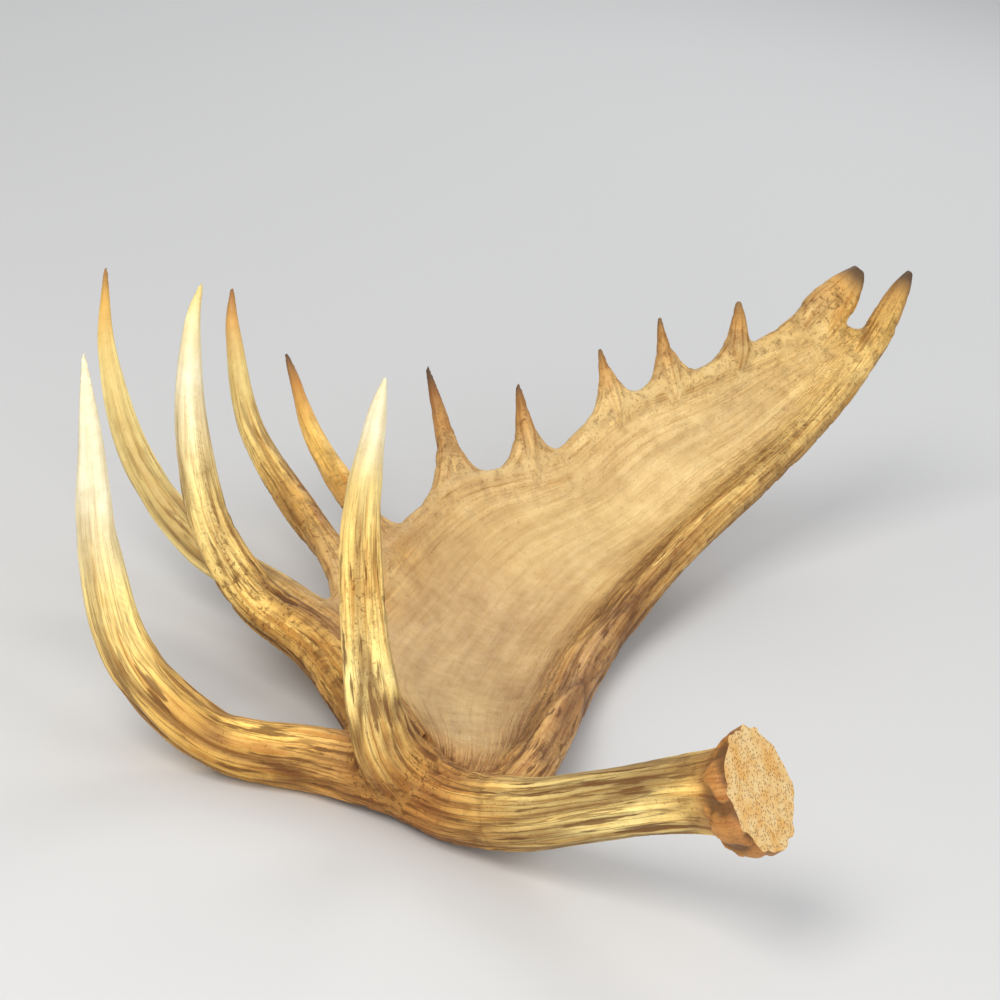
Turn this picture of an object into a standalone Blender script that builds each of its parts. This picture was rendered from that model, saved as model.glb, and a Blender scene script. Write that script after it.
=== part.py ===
"""Right antler of a bull moose, laid down on the convex back of its palm.

The shape is drawn in the animal's own frame (+X outward from the skull, +Y forward,
+Z up, origin midway between the two burrs) and is then turned into the resting pose.
A skeleton of tapered branches and one cupped blade is fused into a single skin,
and the skin is sawn into named pieces at the antler's main forks.
"""
import math

import bmesh
import bpy
from mathutils import Matrix, Vector

MM = 0.001

# ---- how the antler lies ----
FLOOR_DIRECTION = Vector((0.410, 0.487, -0.771))
HEADING = math.radians(134)                      # turn about the vertical, after laying down

# ---- skin ----
VOXEL = 2.5 * MM            # size of the cells that fuse the branches
BLEND_PASSES = 10           # smoothing that rounds the crotches between branches
TARGET_TRIANGLES = 6000     # whole antler
BLADE_THICKNESS = 11 * MM
SAW_GAP = 0.3 * MM          # clearance left at each fork
BASE_TRIM = 6 * MM          # how far into the shaft's root the flat sawn base lies
SIDES_RESOLUTION = 4        # roundness of the branches

# ---- branches: (x, y, z, radius) stations in millimetres, root first ----
BRANCHES = {
    "shaft": [(88, -2, -4, 27), (94, 1, -4, 31), (103, 4, -3, 30), (112, 7, -1, 23), (139, 17, 3, 20),
              (180, 35, 8, 19.5), (219, 52, 13, 20), (256, 64, 24, 21), (290, 68, 42, 21)],
    "brow_long": [(285, 66, 42, 22), (326, 84, 69, 19), (361, 116, 111, 17), (380, 121, 170, 15),
                  (379, 101, 227, 12), (362, 73, 284, 6.6), (348, 55, 324, 1.2)],
    "brow_short": [(284, 66, 44, 21), (282, 70, 75, 18), (279, 48, 123, 13.5), (271, 14, 178, 10.6),
                   (254, -17, 219, 6), (245, -32, 237, 1.2)],
    "tine_1": [(300, 60, 50, 21), (351, 36, 74, 19), (391, 22, 98, 17), (424, 22, 132, 15.5),
               (435, 14, 180, 12.6), (432, -11, 234, 9.8), (421, -39, 278, 5.3), (412, -56, 297, 1.2)],
    "tine_2": [(400, 2, 84, 12), (458, -8, 106, 12.4), (517, -8, 147, 12), (552, -21, 204, 10),
               (563, -49, 263, 6), (560, -80, 307, 1.2)],
    "tine_3": [(453, -51, 74, 8), (527, -80, 116, 11.2), (576, -107, 165, 8.7), (593, -141, 213, 5.3),
               (595, -160, 237, 1.4)],
    "tine_4": [(488, -97, 67, 5.5), (534, -117, 88, 9.1), (597, -150, 124, 6.6), (624, -176, 158, 3.4),
               (627, -182, 172, 1.2)],
}

# Short points along the blade's edge, from the front to the far end.
# The broad last but one is two strokes side by side.
SHORT_POINTS = [
    [(519, -172, 48, 5.5), (537, -192, 68, 8.6), (551, -212, 95, 5.3), (566, -232, 120, 1.2)],
    [(515, -226, 34, 5.5), (521, -240, 53, 7.5), (529, -254, 68, 4.4), (534, -264, 80, 1.2)],
    [(510, -300, 22, 5.5), (511, -308, 40, 7.7), (513, -314, 55, 4), (514, -320, 67, 1.2)],
    [(502, -342, 10, 5.5), (503, -349, 26, 8.2), (504, -358, 43, 4.5), (507, -368, 56, 1.4)],
    [(498, -391, -6, 5.5), (492, -399, 8, 8.3), (492, -411, 21, 5.4), (493, -420, 31, 2)],
    [(492, -431, -17, 5.5), (486, -465, -8, 9), (481, -490, -7, 7.5), (477, -508, -6, 3)],
    [(491, -447, -32, 5.5), (482, -480, -20, 10), (479, -500, -13, 7), (477, -509, -8, 3)],
    [(482, -460, -60, 6), (481, -499, -52, 10.5), (481, -530, -43, 7.8), (480, -548, -37, 2.5)],
]

# ---- blade: its thick rear rib and its tined front edge, (x, y, z, radius) in millimetres ----
REAR_RIB = [(242, 57, 18, 15), (266, 20, 7, 14), (300, -19, -4, 13), (338, -58, -16, 12.5),
            (391, -120, -30, 12.3), (430, -195, -42, 11.7), (462, -280, -56, 11), (475, -370, -66, 9.6),
            (478, -440, -65, 8.6), (481, -505, -55, 8.6)]
FRONT_EDGE = [(300, 62, 50, 12), (351, 36, 74, 13), (391, 20, 92, 12), (430, -12, 90, 8),
              (463, -60, 81, 6.5), (495, -105, 72, 5.5), (515, -140, 66, 5), (520, -180, 60, 5),
              (517, -215, 44, 5), (517, -250, 30, 5), (513, -290, 30, 5), (508, -320, 25, 5),
              (500, -360, 11, 5), (495, -405, -1, 5), (489, -440, -13, 5), (483, -478, -29, 5)]
CUP_DIRECTION = Vector((0.74, 0.16, -0.65))         # the way the blade bellies out
CUP_DEPTHS = [(0.0, 4), (0.15, 14), (0.40, 26), (0.70, 20), (1.0, 5)]   # share of length, mm
BLADE_ROWS = 48
BLADE_COLUMNS = 14

# ---- webs that flare the feet of the points along the blade's edge, in millimetres ----
# stations of the point, spread of the web on either side, share of the point's length it climbs
WEBS = [
    (BRANCHES["tine_2"], 34, 0.30), (BRANCHES["tine_3"], 30, 0.38), (BRANCHES["tine_4"], 28, 0.32),
    (SHORT_POINTS[0], 25, 0.55), (SHORT_POINTS[1], 22, 0.55), (SHORT_POINTS[2], 20, 0.60),
    (SHORT_POINTS[3], 20, 0.60), (SHORT_POINTS[4], 22, 0.60), (SHORT_POINTS[5], 26, 0.55),
]
WEB_RADIUS = 5

# ---- saw cuts: piece cut off, branch it crosses, share of the branch's length, disc radius in mm ----
SAW_CUTS = [
    ("beam", "shaft", 0.60, 30),
    ("brow_tine_long", "brow_long", 0.17, 27),
    ("brow_tine_short", "brow_short", 0.23, 24),
    ("palm_tine_1", "tine_1", 0.42, 23),
    ("palm_tine_2", "tine_2", 0.31, 19),
    ("palm_tine_3", "tine_3", 0.30, 17),
    ("palm_tine_4", "tine_4", 0.34, 15),
]

COLOURS = {
    "beam": (0.50, 0.33, 0.16, 1.0),
    "palm": (0.42, 0.30, 0.17, 1.0),
    "brow_tine_long": (0.62, 0.47, 0.25, 1.0),
    "brow_tine_short": (0.62, 0.46, 0.24, 1.0),
    "palm_tine_1": (0.60, 0.42, 0.19, 1.0),
    "palm_tine_2": (0.61, 0.44, 0.21, 1.0),
    "palm_tine_3": (0.58, 0.41, 0.19, 1.0),
    "palm_tine_4": (0.55, 0.37, 0.17, 1.0),
}
ROUGHNESS = 0.55


def clear_scene():
    """Start from an empty scene."""
    for thing in list(bpy.data.objects):
        bpy.data.objects.remove(thing, do_unlink=True)


def catmull_rom(before, start, end, after, t):
    """Point at share t of the smooth curve from start to end."""
    return 0.5 * (2 * start + (end - before) * t + (2 * before - 5 * start + 4 * end - after) * t ** 2
                  + (3 * start - before - 3 * end + after) * t ** 3)


def smooth_path(stations, steps=6):
    """Points and radii in metres along the smooth curve through the stations."""
    knots = [Vector(station) * MM for station in stations]
    knots = [2 * knots[0] - knots[1]] + knots + [2 * knots[-1] - knots[-2]]
    path = []
    for i in range(1, len(knots) - 2):
        path += [catmull_rom(*knots[i - 1:i + 3], step / steps) for step in range(steps)]
    path.append(knots[-2])
    return [(knot.xyz, max(knot.w, 1.0 * MM)) for knot in path]


def point_at(path, share):
    """Position and direction at a share of a path's length."""
    lengths = [(b[0] - a[0]).length for a, b in zip(path, path[1:])]
    left = share * sum(lengths)
    for (a, b), length in zip(zip(path, path[1:]), lengths):
        if left <= length:
            break
        left -= length
    return a[0].lerp(b[0], left / length), (b[0] - a[0]).normalized()


def web_stations(stations, spread, reach):
    """Two strokes that flare a point's foot along the blade's edge, one on either side."""
    edge = smooth_path(FRONT_EDGE)
    length = sum((b[0] - a[0]).length for a, b in zip(edge, edge[1:]))
    root = Vector(stations[0][:3]) * MM
    shares = [i / 200 for i in range(201)]
    root_share = min(shares, key=lambda share: (point_at(edge, share)[0] - root).length)
    top = point_at(smooth_path(stations), reach)[0] / MM
    strokes = []
    for side in (-spread, spread):
        share = min(max(root_share + side * MM / length, 0.0), 1.0)
        foot = point_at(edge, share)[0] / MM
        middle = foot.lerp(top, 0.4).lerp(root / MM, 0.2)
        strokes.append([(*place, WEB_RADIUS) for place in (foot, middle, top)])
    return strokes


def branch_mesh(stations):
    """Closed tapered tube through the stations."""
    path = smooth_path(stations)
    curve = bpy.data.curves.new("branch", "CURVE")
    curve.dimensions = "3D"
    curve.bevel_depth = 1.0
    curve.bevel_resolution = SIDES_RESOLUTION
    curve.use_fill_caps = True
    spline = curve.splines.new("POLY")
    spline.points.add(len(path) - 1)
    for spline_point, (place, radius) in zip(spline.points, path):
        spline_point.co = (*place, 1.0)
        spline_point.radius = radius
    holder = bpy.data.objects.new("branch", curve)
    mesh = bpy.data.meshes.new_from_object(holder)
    bpy.data.objects.remove(holder)
    return mesh


def cup_depth(share):
    """How far the blade bellies out at a share of its length, in metres."""
    for (a, depth_a), (b, depth_b) in zip(CUP_DEPTHS, CUP_DEPTHS[1:]):
        if share <= b:
            return (depth_a + (depth_b - depth_a) * (share - a) / (b - a)) * MM
    return CUP_DEPTHS[-1][1] * MM


def blade_mesh():
    """Closed cupped plate between the rear rib and the tined edge."""
    rear = smooth_path(REAR_RIB, 8)
    front = smooth_path(FRONT_EDGE, 8)
    belly = CUP_DIRECTION.normalized()
    bm = bmesh.new()
    rows = []
    for i in range(BLADE_ROWS + 1):
        share = i / BLADE_ROWS
        low, high = point_at(rear, share)[0], point_at(front, share)[0]
        row = []
        for j in range(BLADE_COLUMNS + 1):
            across = j / BLADE_COLUMNS
            sag = cup_depth(share) * 4 * across * (1 - across)
            row.append(bm.verts.new(low.lerp(high, across) + belly * sag))
        rows.append(row)
    for a, b in zip(rows, rows[1:]):
        for j in range(BLADE_COLUMNS):
            bm.faces.new((a[j], a[j + 1], b[j + 1], b[j]))
    bmesh.ops.recalc_face_normals(bm, faces=bm.faces)
    bm.normal_update()
    skin = bm.faces[:]
    solid = bmesh.ops.solidify(bm, geom=skin, thickness=BLADE_THICKNESS)
    normal = sum((face.normal for face in skin), Vector()).normalized()
    bmesh.ops.translate(bm, verts=bm.verts, vec=normal * BLADE_THICKNESS / 2)
    bmesh.ops.recalc_face_normals(bm, faces=bm.faces)
    mesh = bpy.data.meshes.new("blade")
    bm.to_mesh(mesh)
    bm.free()
    return mesh


def fused_antler():
    """One skin around all the branches and the blade, in the animal's frame."""
    tubes = list(BRANCHES.values()) + SHORT_POINTS + [REAR_RIB, FRONT_EDGE]
    for web in WEBS:
        tubes += web_stations(*web)
    bm = bmesh.new()
    for mesh in [branch_mesh(stations) for stations in tubes] + [blade_mesh()]:
        bm.from_mesh(mesh)
    mesh = bpy.data.meshes.new("antler")
    bm.to_mesh(mesh)
    bm.free()
    antler = bpy.data.objects.new("antler", mesh)
    bpy.context.scene.collection.objects.link(antler)
    fuse = antler.modifiers.new("fuse", "REMESH")
    fuse.mode = "VOXEL"
    fuse.voxel_size = VOXEL
    blend = antler.modifiers.new("blend", "SMOOTH")
    blend.factor = 0.5
    blend.iterations = BLEND_PASSES
    return antler


def evaluated_mesh(thing):
    """The object's mesh with its modifiers applied."""
    graph = bpy.context.evaluated_depsgraph_get()
    return bpy.data.meshes.new_from_object(thing.evaluated_get(graph))


def thin_out(antler):
    """Bring the skin down to the target number of triangles."""
    mesh = evaluated_mesh(antler)
    antler.modifiers.clear()
    antler.data = mesh
    triangles = sum(len(face.vertices) - 2 for face in mesh.polygons)
    fewer = antler.modifiers.new("fewer", "DECIMATE")
    fewer.ratio = TARGET_TRIANGLES / triangles
    fewer.use_collapse_triangulate = True
    antler.data = evaluated_mesh(antler)
    antler.modifiers.clear()


def saw(antler):
    """Cut through the skin at each main fork with a thin disc."""
    for name, branch, share, radius in SAW_CUTS:
        place, direction = point_at(smooth_path(BRANCHES[branch]), share)
        bm = bmesh.new()
        bmesh.ops.create_cone(bm, cap_ends=True, segments=24, radius1=radius * MM,
                              radius2=radius * MM, depth=SAW_GAP)
        mesh = bpy.data.meshes.new("saw_" + name)
        bm.to_mesh(mesh)
        bm.free()
        blade = bpy.data.objects.new("saw_" + name, mesh)
        bpy.context.scene.collection.objects.link(blade)
        facing = direction.to_track_quat("Z", "Y").to_matrix().to_4x4()
        blade.matrix_world = Matrix.Translation(place) @ facing
        blade.hide_render = True
        blade.display_type = "WIRE"
        cut = antler.modifiers.new("cut", "BOOLEAN")
        cut.operation = "DIFFERENCE"
        cut.solver = "EXACT"
        cut.object = blade
        bpy.context.view_layer.update()
        antler.data = evaluated_mesh(antler)
        antler.modifiers.clear()
        bpy.data.objects.remove(blade)


def sawn_pieces(antler):
    """The separate islands of the sawn skin, as lists of mesh data, largest first."""
    bm = bmesh.new()
    bm.from_mesh(antler.data)
    left = set(bm.verts)
    islands = []
    while left:
        stack = [left.pop()]
        island = set(stack)
        while stack:
            for edge in stack.pop().link_edges:
                for vert in edge.verts:
                    if vert in left:
                        left.discard(vert)
                        island.add(vert)
                        stack.append(vert)
        islands.append(island)
    islands.sort(key=len, reverse=True)
    meshes = []
    for island in islands[:len(SAW_CUTS) + 1]:
        order = sorted(island, key=lambda vert: vert.index)
        place = {vert: i for i, vert in enumerate(order)}
        faces = [face for face in bm.faces if face.verts[0] in island]
        mesh = bpy.data.meshes.new("piece")
        mesh.from_pydata([vert.co[:] for vert in order], [],
                         [[place[vert] for vert in face.verts] for face in faces])
        meshes.append(mesh)
    bm.free()
    return meshes


def trim_base(mesh):
    """Saw the beam's root off flat, square to the shaft."""
    root, direction = point_at(smooth_path(BRANCHES["shaft"]), 0.0)
    bm = bmesh.new()
    bm.from_mesh(mesh)
    everything = bm.verts[:] + bm.edges[:] + bm.faces[:]
    cut = bmesh.ops.bisect_plane(bm, geom=everything, plane_co=root + direction * BASE_TRIM,
                                 plane_no=-direction, clear_outer=True)
    rim = [part for part in cut["geom_cut"] if isinstance(part, bmesh.types.BMEdge)]
    bmesh.ops.contextual_create(bm, geom=rim)
    bmesh.ops.recalc_face_normals(bm, faces=bm.faces)
    bm.to_mesh(mesh)
    bm.free()


def name_pieces(meshes):
    """Names in the meshes' order: a piece is the one nearest its branch's end, and the rest is the palm."""
    names = ["palm"] * len(meshes)
    for name, branch, _, _ in SAW_CUTS:
        stations = BRANCHES[branch]
        end = Vector((stations[0] if name == "beam" else stations[-1])[:3]) * MM
        reach = [min((vert.co - end).length for vert in mesh.vertices) for mesh in meshes]
        names[reach.index(min(reach))] = name
    return names


def bone(name):
    """Plain antler bone in the piece's own colour."""
    material = bpy.data.materials.new(name + "_bone")
    material.use_nodes = True
    shader = material.node_tree.nodes["Principled BSDF"]
    shader.inputs["Base Color"].default_value = COLOURS[name]
    shader.inputs["Roughness"].default_value = ROUGHNESS
    shader.inputs["Metallic"].default_value = 0.0
    return material


def lay_down(meshes):
    """Turn the pieces into the resting pose, on Z = 0 and centred over the origin."""
    down = FLOOR_DIRECTION.normalized()
    laying = down.rotation_difference(Vector((0, 0, -1))).to_matrix().to_4x4()
    turn = Matrix.Rotation(HEADING, 4, "Z") @ laying
    for mesh in meshes:
        mesh.transform(turn)
    corners = [vert.co for mesh in meshes for vert in mesh.vertices]
    low = Vector(min(corner[axis] for corner in corners) for axis in range(3))
    high = Vector(max(corner[axis] for corner in corners) for axis in range(3))
    shift = Matrix.Translation((-(low.x + high.x) / 2, -(low.y + high.y) / 2, -low.z))
    for mesh in meshes:
        mesh.transform(shift)


def build():
    """Model, saw and lay down the antler."""
    clear_scene()
    antler = fused_antler()
    thin_out(antler)
    saw(antler)
    meshes = sawn_pieces(antler)
    names = name_pieces(meshes)
    bpy.data.objects.remove(antler)
    trim_base(meshes[names.index("beam")])
    lay_down(meshes)
    for name, mesh in zip(names, meshes):
        mesh.name = name
        mesh.materials.append(bone(name))
        mesh.shade_smooth()
        mesh.set_sharp_from_angle(angle=math.radians(50))
        piece = bpy.data.objects.new(name, mesh)
        bpy.context.scene.collection.objects.link(piece)


build()
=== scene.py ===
"""The looks of a bull moose's right antler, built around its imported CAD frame.

The skin is drawn in the animal's own frame (+X outward from the skull, +Y forward, +Z up,
origin midway between the burrs), fused from the same branches and cupped blade as the CAD.
Its forks are then filled in, grooves and pits are pressed into it along the way each branch
grew, and its colour is painted per vertex. The finished skin is parted at the CAD's saw cuts,
one piece for each node, and laid down as the CAD lies.
"""

import math

import bmesh
import bpy
import numpy as np
from mathutils import Matrix, Vector


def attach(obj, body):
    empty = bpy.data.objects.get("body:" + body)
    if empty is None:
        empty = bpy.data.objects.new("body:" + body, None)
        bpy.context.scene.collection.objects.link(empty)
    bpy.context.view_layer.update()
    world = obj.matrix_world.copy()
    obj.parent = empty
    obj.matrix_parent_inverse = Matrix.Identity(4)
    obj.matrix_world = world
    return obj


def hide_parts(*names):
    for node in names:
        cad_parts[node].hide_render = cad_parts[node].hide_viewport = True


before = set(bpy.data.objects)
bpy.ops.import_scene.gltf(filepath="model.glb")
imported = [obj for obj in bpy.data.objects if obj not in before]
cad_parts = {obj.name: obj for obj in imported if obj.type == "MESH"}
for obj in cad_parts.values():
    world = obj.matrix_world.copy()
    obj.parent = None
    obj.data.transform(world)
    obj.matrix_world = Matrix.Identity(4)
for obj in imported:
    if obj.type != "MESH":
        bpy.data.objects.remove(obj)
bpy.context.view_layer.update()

MM = 0.001

# ---- how the antler lies, as in the CAD ----
FLOOR_DIRECTION = Vector((0.410, 0.487, -0.771))
HEADING = math.radians(134)
BASE_TRIM = 6 * MM

# ---- skin ----
VOXEL = 1.6 * MM
BLADE_THICKNESS = 11 * MM
FAIRING_PASSES = 8          # rounds off the voxels without shrinking anything
LAST_FAIRING_PASSES = 3
FILLING_PASSES = 110        # fills the crotches between branches, outward only
GRAIN_REACH = 1.5 * MM      # how softly one branch's grain turns into the next one's
COLOUR_REACH = 8 * MM       # and its colours
GRAIN_STEP = 0.7            # sets the grain of one branch apart from the next one's, in metres
BACK_GRAIN = 0.05           # and that of the blade's back from its cupped face's
MOST_TRIANGLES = 190000     # of one piece

# ---- branches: (x, y, z, radius) stations in millimetres, root first ----
BRANCHES = {
    "shaft": [(88, -2, -4, 27), (94, 1, -4, 31), (103, 4, -3, 30), (112, 7, -1, 23), (139, 17, 3, 20),
              (180, 35, 8, 19.5), (219, 52, 13, 20), (256, 64, 24, 21), (290, 68, 42, 21)],
    "brow_long": [(285, 66, 42, 22), (326, 84, 69, 19), (361, 116, 111, 17), (380, 121, 170, 15),
                  (379, 101, 227, 12), (362, 73, 284, 6.6), (348, 55, 324, 1.2)],
    "brow_short": [(284, 66, 44, 21), (282, 70, 75, 18), (279, 48, 123, 13.5), (271, 14, 178, 10.6),
                   (254, -17, 219, 6), (245, -32, 237, 1.2)],
    "tine_1": [(300, 60, 50, 21), (351, 36, 74, 19), (391, 22, 98, 17), (424, 22, 132, 15.5),
               (435, 14, 180, 12.6), (432, -11, 234, 9.8), (421, -39, 278, 5.3), (412, -56, 297, 1.2)],
    "tine_2": [(400, 2, 84, 12), (458, -8, 106, 12.4), (517, -8, 147, 12), (552, -21, 204, 10),
               (563, -49, 263, 6), (560, -80, 307, 1.2)],
    "tine_3": [(453, -51, 74, 8), (527, -80, 116, 11.2), (576, -107, 165, 8.7), (593, -141, 213, 5.3),
               (595, -160, 237, 1.4)],
    "tine_4": [(488, -97, 67, 5.5), (534, -117, 88, 9.1), (597, -150, 124, 6.6), (624, -176, 158, 3.4),
               (627, -182, 172, 1.2)],
    "point_1": [(519, -172, 48, 5.5), (537, -192, 68, 8.6), (551, -212, 95, 5.3), (566, -232, 120, 1.2)],
    "point_2": [(515, -226, 34, 5.5), (521, -240, 53, 7.5), (529, -254, 68, 4.4), (534, -264, 80, 1.2)],
    "point_3": [(510, -300, 22, 5.5), (511, -308, 40, 7.7), (513, -314, 55, 4), (514, -320, 67, 1.2)],
    "point_4": [(502, -342, 10, 5.5), (503, -349, 26, 8.2), (504, -358, 43, 4.5), (507, -368, 56, 1.4)],
    "point_5": [(498, -391, -6, 5.5), (492, -399, 8, 8.3), (492, -411, 21, 5.4), (493, -420, 31, 2)],
    "broad_point_a": [(492, -431, -17, 5.5), (486, -465, -8, 9), (481, -490, -7, 7.5), (477, -508, -6, 3)],
    "broad_point_b": [(491, -447, -32, 5.5), (482, -480, -20, 10), (479, -500, -13, 7), (477, -509, -8, 3)],
    "end_point": [(482, -460, -60, 6), (481, -499, -52, 10.5), (481, -530, -43, 7.8),
                  (480, -548, -37, 2.5)],
    "rib": [(242, 57, 18, 15), (266, 20, 7, 14), (300, -19, -4, 13), (338, -58, -16, 12.5),
            (391, -120, -30, 12.3), (430, -195, -42, 11.7), (462, -280, -56, 11), (475, -370, -66, 9.6),
            (478, -440, -65, 8.6), (481, -505, -55, 8.6)],
    "edge": [(300, 62, 50, 12), (351, 36, 74, 13), (391, 20, 92, 12), (430, -12, 90, 8),
             (463, -60, 81, 6.5), (495, -105, 72, 5.5), (515, -140, 66, 5), (520, -180, 60, 5),
             (517, -215, 44, 5), (517, -250, 30, 5), (513, -290, 30, 5), (508, -320, 25, 5),
             (500, -360, 11, 5), (495, -405, -1, 5), (489, -440, -13, 5), (483, -478, -29, 5)],
}
CUP_DIRECTION = np.array((0.74, 0.16, -0.65)) / np.linalg.norm((0.74, 0.16, -0.65))
CUP_DEPTHS = [(0.0, 4), (0.15, 14), (0.40, 26), (0.70, 20), (1.0, 5)]   # share of length, mm
BLADE_ROWS = 48
BLADE_COLUMNS = 14
BRANCH_STEPS = 12           # rows of a branch from one station to the next
BLADE_STEPS = 8             # and of the rib and the edge, where they bound the blade

# ---- webs that flare the feet of the points along the blade's edge, in millimetres ----
# point: (spread of the web on either side, share of the point's length that it climbs)
WEBS = {
    "tine_2": (34, 0.30), "tine_3": (30, 0.38), "tine_4": (28, 0.32), "point_1": (25, 0.55),
    "point_2": (22, 0.55), "point_3": (20, 0.60), "point_4": (20, 0.60), "point_5": (22, 0.60),
    "broad_point_a": (26, 0.55),
}
WEB_RADIUS = 5

# ---- saw cuts: the CAD node that each cut parts from the palm, the branch it crosses, and where ----
SAW_CUTS = {
    "beam": ("shaft", 0.60),
    "brow_tine_long": ("brow_long", 0.17),
    "brow_tine_short": ("brow_short", 0.23),
    "palm_tine_1": ("tine_1", 0.42),
    "palm_tine_2": ("tine_2", 0.31),
    "palm_tine_3": ("tine_3", 0.30),
    "palm_tine_4": ("tine_4", 0.34),
}
NEAR_CUT = 0.1              # faces within this share of a cut are parted by its plane


def linear(red, green, blue):
    """Linear colour of an sRGB colour given from 0 to 255."""
    return np.array([(c / 255 / 12.92) if c < 11 else ((c / 255 + 0.055) / 1.055) ** 2.4
                     for c in (red, green, blue)])


IVORY = linear(252, 243, 206)
STRAW = linear(249, 224, 146)
HONEY = linear(247, 210, 124)
GOLD = linear(238, 190, 98)
TAN = linear(218, 166, 90)
TAWNY = linear(220, 170, 108)
BEIGE = linear(202, 166, 110)
CREAM = linear(228, 197, 138)
AMBER = linear(200, 142, 72)
UMBER = linear(150, 100, 52)
GREY_BROWN = linear(158, 126, 84)
DARK_TIP = linear(92, 68, 48)
CREVICE = linear(106, 64, 22)

# ---- looks along each branch: (share of its length, colour, groove depth in mm, pitting 0 to 1) ----
POINT_LOOK = [(0.0, CREAM, 0.4, 0.4), (0.35, CREAM, 0.7, 0.5), (0.6, TAWNY, 0.7, 0.3),
              (0.8, UMBER, 0.4, 0.1), (0.92, DARK_TIP, 0.1, 0.0), (1.0, DARK_TIP, 0.1, 0.0)]
LOOKS = {
    "shaft": [(0.0, UMBER, 0.4, 0.4), (0.1, AMBER, 0.6, 0.4), (0.17, HONEY, 1.0, 0.3),
              (0.3, STRAW, 1.2, 0.1), (0.6, STRAW, 1.3, 0.1), (0.75, HONEY, 1.6, 0.2),
              (0.87, AMBER, 1.8, 0.3), (1.0, AMBER, 1.7, 0.4)],
    "brow_long": [(0.0, AMBER, 1.7, 0.4), (0.12, TAN, 1.8, 0.3), (0.25, GOLD, 1.6, 0.2),
                  (0.4, GOLD, 1.3, 0.1), (0.5, HONEY, 1.0, 0.0), (0.62, STRAW, 0.7, 0.0),
                  (0.78, IVORY, 0.4, 0.0), (1.0, IVORY, 0.2, 0.0)],
    "brow_short": [(0.0, GOLD, 1.6, 0.3), (0.15, HONEY, 1.6, 0.2), (0.3, STRAW, 1.5, 0.4),
                   (0.5, HONEY, 1.3, 0.6), (0.62, HONEY, 0.9, 0.2), (0.75, STRAW, 0.5, 0.0),
                   (0.88, IVORY, 0.3, 0.0), (1.0, IVORY, 0.2, 0.0)],
    "tine_1": [(0.0, TAN, 1.4, 0.5), (0.15, GOLD, 1.5, 0.5), (0.35, GOLD, 1.5, 0.7),
               (0.5, HONEY, 1.2, 0.7), (0.65, STRAW, 0.7, 0.3), (0.85, IVORY, 0.3, 0.0),
               (1.0, STRAW, 0.2, 0.0)],
    "tine_2": [(0.0, TAN, 0.9, 0.3), (0.3, STRAW, 1.2, 0.2), (0.5, STRAW, 0.8, 0.0),
               (0.82, STRAW, 0.4, 0.0), (0.93, GOLD, 0.2, 0.0), (1.0, UMBER, 0.1, 0.0)],
    "tine_3": [(0.0, TAN, 0.7, 0.4), (0.3, GOLD, 1.1, 0.5), (0.5, HONEY, 1.0, 0.3),
               (0.8, STRAW, 0.4, 0.0), (0.92, TAN, 0.2, 0.0), (1.0, UMBER, 0.1, 0.0)],
    "tine_4": [(0.0, TAN, 0.6, 0.5), (0.4, GOLD, 0.9, 0.5), (0.7, GOLD, 0.6, 0.2),
               (0.88, AMBER, 0.3, 0.0), (1.0, DARK_TIP, 0.1, 0.0)],
    "broad_point_a": [(0.0, CREAM, 0.3, 0.5), (0.5, CREAM, 0.5, 0.8), (0.75, TAN, 0.4, 0.5),
                      (0.92, DARK_TIP, 0.2, 0.0), (1.0, DARK_TIP, 0.2, 0.0)],
    "broad_point_b": [(0.0, CREAM, 0.3, 0.5), (0.5, GOLD, 0.5, 0.8), (0.7, TAN, 0.4, 0.5),
                      (0.9, DARK_TIP, 0.2, 0.0), (1.0, DARK_TIP, 0.2, 0.0)],
    "end_point": [(0.0, CREAM, 0.5, 0.5), (0.4, GOLD, 0.8, 0.7), (0.72, TAN, 0.5, 0.4),
                  (0.92, DARK_TIP, 0.2, 0.0), (1.0, DARK_TIP, 0.2, 0.0)],
    "rib": [(0.0, AMBER, 1.6, 0.4), (0.1, TAN, 1.8, 0.3), (0.3, TAWNY, 1.7, 0.3),
            (0.55, GOLD, 1.6, 0.4), (0.75, HONEY, 1.3, 0.8), (1.0, HONEY, 0.9, 0.7)],
    "edge": [(0.0, AMBER, 1.4, 0.6), (0.12, GOLD, 1.1, 0.6), (0.3, TAN, 0.6, 0.6),
             (0.6, BEIGE, 0.5, 0.7), (0.8, HONEY, 0.5, 0.9), (1.0, HONEY, 0.5, 0.7)],
}
WEB_LOOK = [(0.0, CREAM, 0.4, 0.6), (1.0, TAN, 0.6, 0.6)]
CUPPED_FACE = [(0.0, TAN, 0.3, 0.3), (0.1, BEIGE, 0.25, 0.15), (0.4, BEIGE, 0.25, 0.1),
               (0.6, CREAM, 0.25, 0.1), (0.85, CREAM, 0.3, 0.2), (1.0, GOLD, 0.4, 0.4)]
BACK_FACE = [(0.0, TAN, 0.9, 0.3), (0.25, GREY_BROWN, 0.8, 0.1), (0.7, GREY_BROWN, 0.7, 0.1),
             (1.0, TAN, 0.6, 0.3)]

# ---- relief ----
PEARLED_SHARE = 0.13        # the burr: this share of the shaft carries pearls
PEARL_HEIGHT = 2.6 * MM
PIT_DEPTH = 1.1 * MM
RIPPLE = 1.2 * MM           # slow unevenness of the whole skin, for noise from -0.5 to 0.5
SWELL = 2.6 * MM            # lengthwise ridges, for noise from -0.5 to 0.5
FULL_RADIUS = 12 * MM       # branches thinner than this ripple less

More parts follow.
